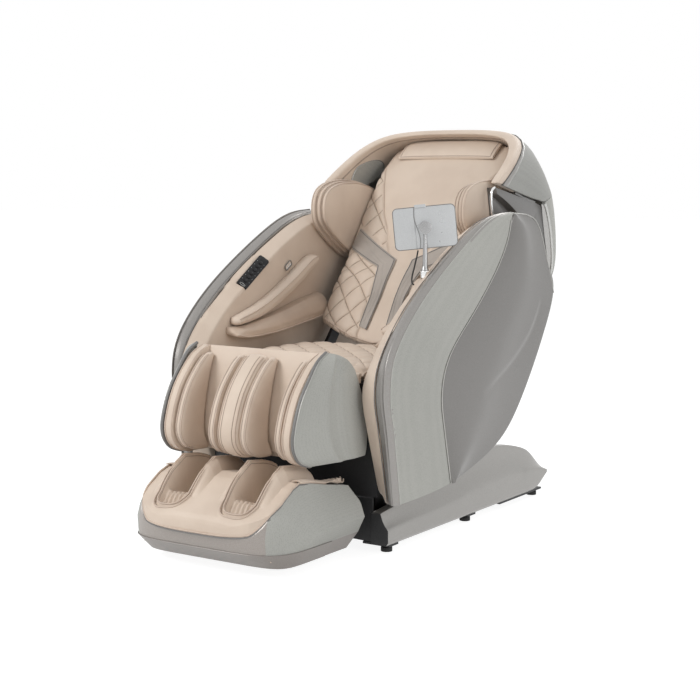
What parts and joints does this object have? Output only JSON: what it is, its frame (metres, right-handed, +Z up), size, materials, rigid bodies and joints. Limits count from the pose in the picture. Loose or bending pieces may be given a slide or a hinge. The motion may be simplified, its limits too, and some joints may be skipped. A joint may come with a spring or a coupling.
{
  "type": "massage chair",
  "caption": "Reclining full-body massage chair with hooded back, padded arm pods, quilted seat, swinging calf rest, sliding foot unit and a tablet stalk.",
  "frame": {"origin": "on the floor under the middle of the whole outline", "axes": "+X towards the sitter's left, +Y towards the back of the chair, +Z up"},
  "size_m": [0.803, 1.6533, 1.2465],
  "materials": {
    "base_frame": "satin",
    "rail_cover_left": "satin",
    "rail_cover_right": "satin",
    "floor_feet": "matt",
    "power_inlet": "matt",
    "power_rocker": "gloss",
    "seat_frame": "satin",
    "seat_pan": "matt",
    "seat_cushion": "soft grain",
    "front_skirt": "soft grain",
    "pod_lining_left": "soft grain",
    "pod_lining_right": "soft grain",
    "pod_plate_left": "satin",
    "pod_plate_right": "satin",
    "pod_mesh_left": "fine dotted weave",
    "pod_mesh_right": "fine dotted weave",
    "pod_rear_left": "semi-gloss",
    "pod_rear_right": "semi-gloss",
    "pod_trims": "bright",
    "arm_flap_left": "soft grain",
    "arm_flap_right": "soft grain",
    "arm_pad_left": "soft grain",
    "arm_pad_right": "soft grain",
    "key_panel": "gloss",
    "key_1": "gloss",
    "key_2": "gloss",
    "key_3": "gloss",
    "key_4": "gloss",
    "key_5": "gloss",
    "key_6": "gloss",
    "usb_port": "bright",
    "control_box": "matt",
    "back_frame": "satin",
    "back_sides": "gloss",
    "back_shell": "satin",
    "hood_shell": "fine dotted weave",
    "hood_rim": "soft grain",
    "hood_vents": "matt",
    "back_pad": "soft grain, quilted",
    "back_bands": "soft grain",
    "head_pillow": "soft grain",
    "wing_left": "soft grain",
    "wing_right": "soft grain",
    "massage_head": "satin",
    "massage_rollers": "matt",
    "calf_frame": "satin",
    "calf_shell": "soft grain",
    "calf_back": "matt",
    "calf_sides": "fine dotted weave",
    "calf_divider": "soft grain",
    "calf_pads_left": "soft grain",
    "calf_pads_right": "soft grain",
    "foot_shell": "satin metallic",
    "foot_cushion": "soft grain",
    "foot_rods": "ground",
    "tablet_base": "bright",
    "tablet_arm": "bright",
    "tablet": "silver",
    "tablet_cable": "matt"
  },
  "bodies": {
    "base": {"base_frame": "base_frame", "rail_cover_left": "rail_cover_left", "rail_cover_right": "rail_cover_right", "floor_feet": "floor_feet", "power_inlet": "power_inlet"},
    "power_rocker": {"power_rocker": "power_rocker"},
    "carriage": {"seat_frame": "seat_frame", "seat_pan": "seat_pan", "seat_cushion": "seat_cushion", "front_skirt": "front_skirt", "pod_lining_left": "pod_lining_left", "pod_lining_right": "pod_lining_right", "pod_plate_left": "pod_plate_left", "pod_plate_right": "pod_plate_right", "pod_mesh_left": "pod_mesh_left", "pod_mesh_right": "pod_mesh_right", "pod_rear_left": "pod_rear_left", "pod_rear_right": "pod_rear_right", "pod_trims": "pod_trims", "arm_flap_left": "arm_flap_left", "arm_flap_right": "arm_flap_right", "arm_pad_left": "arm_pad_left", "arm_pad_right": "arm_pad_right", "key_panel": "key_panel", "usb_port": "usb_port", "control_box": "control_box", "tablet_base": "tablet_base", "tablet_cable": "tablet_cable"},
    "back": {"back_frame": "back_frame", "back_sides": "back_sides", "back_shell": "back_shell", "hood_shell": "hood_shell", "hood_rim": "hood_rim", "hood_vents": "hood_vents", "back_pad": "back_pad", "back_bands": "back_bands", "head_pillow": "head_pillow", "wing_left": "wing_left", "wing_right": "wing_right"},
    "massage_head": {"massage_head": "massage_head"},
    "massage_rollers": {"massage_rollers": "massage_rollers"},
    "leg_rest": {"calf_frame": "calf_frame", "calf_shell": "calf_shell", "calf_back": "calf_back", "calf_sides": "calf_sides", "calf_divider": "calf_divider", "calf_pads_left": "calf_pads_left", "calf_pads_right": "calf_pads_right"},
    "foot_unit": {"foot_shell": "foot_shell", "foot_cushion": "foot_cushion", "foot_rods": "foot_rods"},
    "tablet_stalk": {"tablet_arm": "tablet_arm"},
    "tablet": {"tablet": "tablet"},
    "key_1": {"key_1": "key_1"},
    "key_2": {"key_2": "key_2"},
    "key_3": {"key_3": "key_3"},
    "key_4": {"key_4": "key_4"},
    "key_5": {"key_5": "key_5"},
    "key_6": {"key_6": "key_6"}
  },
  "joints": [
    {"name": "power_rocker_tilt", "type": "hinge", "parent": "base", "child": "power_rocker", "pos_m": [0.115, 0.397, 0.049], "axis": [1, 0, 0], "range_deg": [-8, 8]},
    {"name": "carriage_glide", "type": "hinge", "parent": "base", "child": "carriage", "pos_m": [0, 0, 0.84], "axis": [-1, 0, 0], "range_deg": [0, 10]},
    {"name": "back_recline", "type": "hinge", "parent": "carriage", "child": "back", "pos_m": [0, 0.085, 0.33], "axis": [-1, 0, 0], "range_deg": [0, 38]},
    {"name": "massage_head_travel", "type": "slide", "parent": "back", "child": "massage_head", "axis": [0, 0.6303, 0.7764], "range_m": [0, 0.36]},
    {"name": "roller_spin", "type": "hinge", "parent": "massage_head", "child": "massage_rollers", "pos_m": [0, 0.32236, 0.73644], "axis": [1, 0, 0], "continuous": true},
    {"name": "leg_rest_lift", "type": "hinge", "parent": "carriage", "child": "leg_rest", "pos_m": [0, -0.45, 0.48], "axis": [-1, 0, 0], "range_deg": [0, 70]},
    {"name": "foot_unit_slide", "type": "slide", "parent": "leg_rest", "child": "foot_unit", "axis": [0, -0.2599, -0.9656], "range_m": [0, 0.12]},
    {"name": "tablet_swing", "type": "hinge", "parent": "carriage", "child": "tablet_stalk", "pos_m": [0.32, -0.12, 0.8], "axis": [0, 0, 1], "range_deg": [-60, 60]},
    {"name": "tablet_tilt", "type": "hinge", "parent": "tablet_stalk", "child": "tablet", "pos_m": [0.32, -0.12, 0.938], "axis": [0.8339, 0.5519, 0], "range_deg": [-5, 25]},
    {"name": "key_1_press", "type": "slide", "parent": "carriage", "child": "key_1", "axis": [-0.7071, 0.3851, -0.593], "range_m": [0, 0.0008], "stiffness_N_per_m": 900},
    {"name": "key_2_press", "type": "slide", "parent": "carriage", "child": "key_2", "axis": [-0.7071, 0.3851, -0.593], "range_m": [0, 0.0008], "stiffness_N_per_m": 900},
    {"name": "key_3_press", "type": "slide", "parent": "carriage", "child": "key_3", "axis": [-0.7071, 0.3851, -0.593], "range_m": [0, 0.0008], "stiffness_N_per_m": 900},
    {"name": "key_4_press", "type": "slide", "parent": "carriage", "child": "key_4", "axis": [-0.7071, 0.3851, -0.593], "range_m": [0, 0.0008], "stiffness_N_per_m": 900},
    {"name": "key_5_press", "type": "slide", "parent": "carriage", "child": "key_5", "axis": [-0.7071, 0.3851, -0.593], "range_m": [0, 0.0008], "stiffness_N_per_m": 900},
    {"name": "key_6_press", "type": "slide", "parent": "carriage", "child": "key_6", "axis": [-0.7071, 0.3851, -0.593], "range_m": [0, 0.0008], "stiffness_N_per_m": 900}
  ],
  "couplings": [
    {"joint": "foot_unit_slide", "follows": "leg_rest_lift", "m_per_rad": 0.0982}
  ]
}
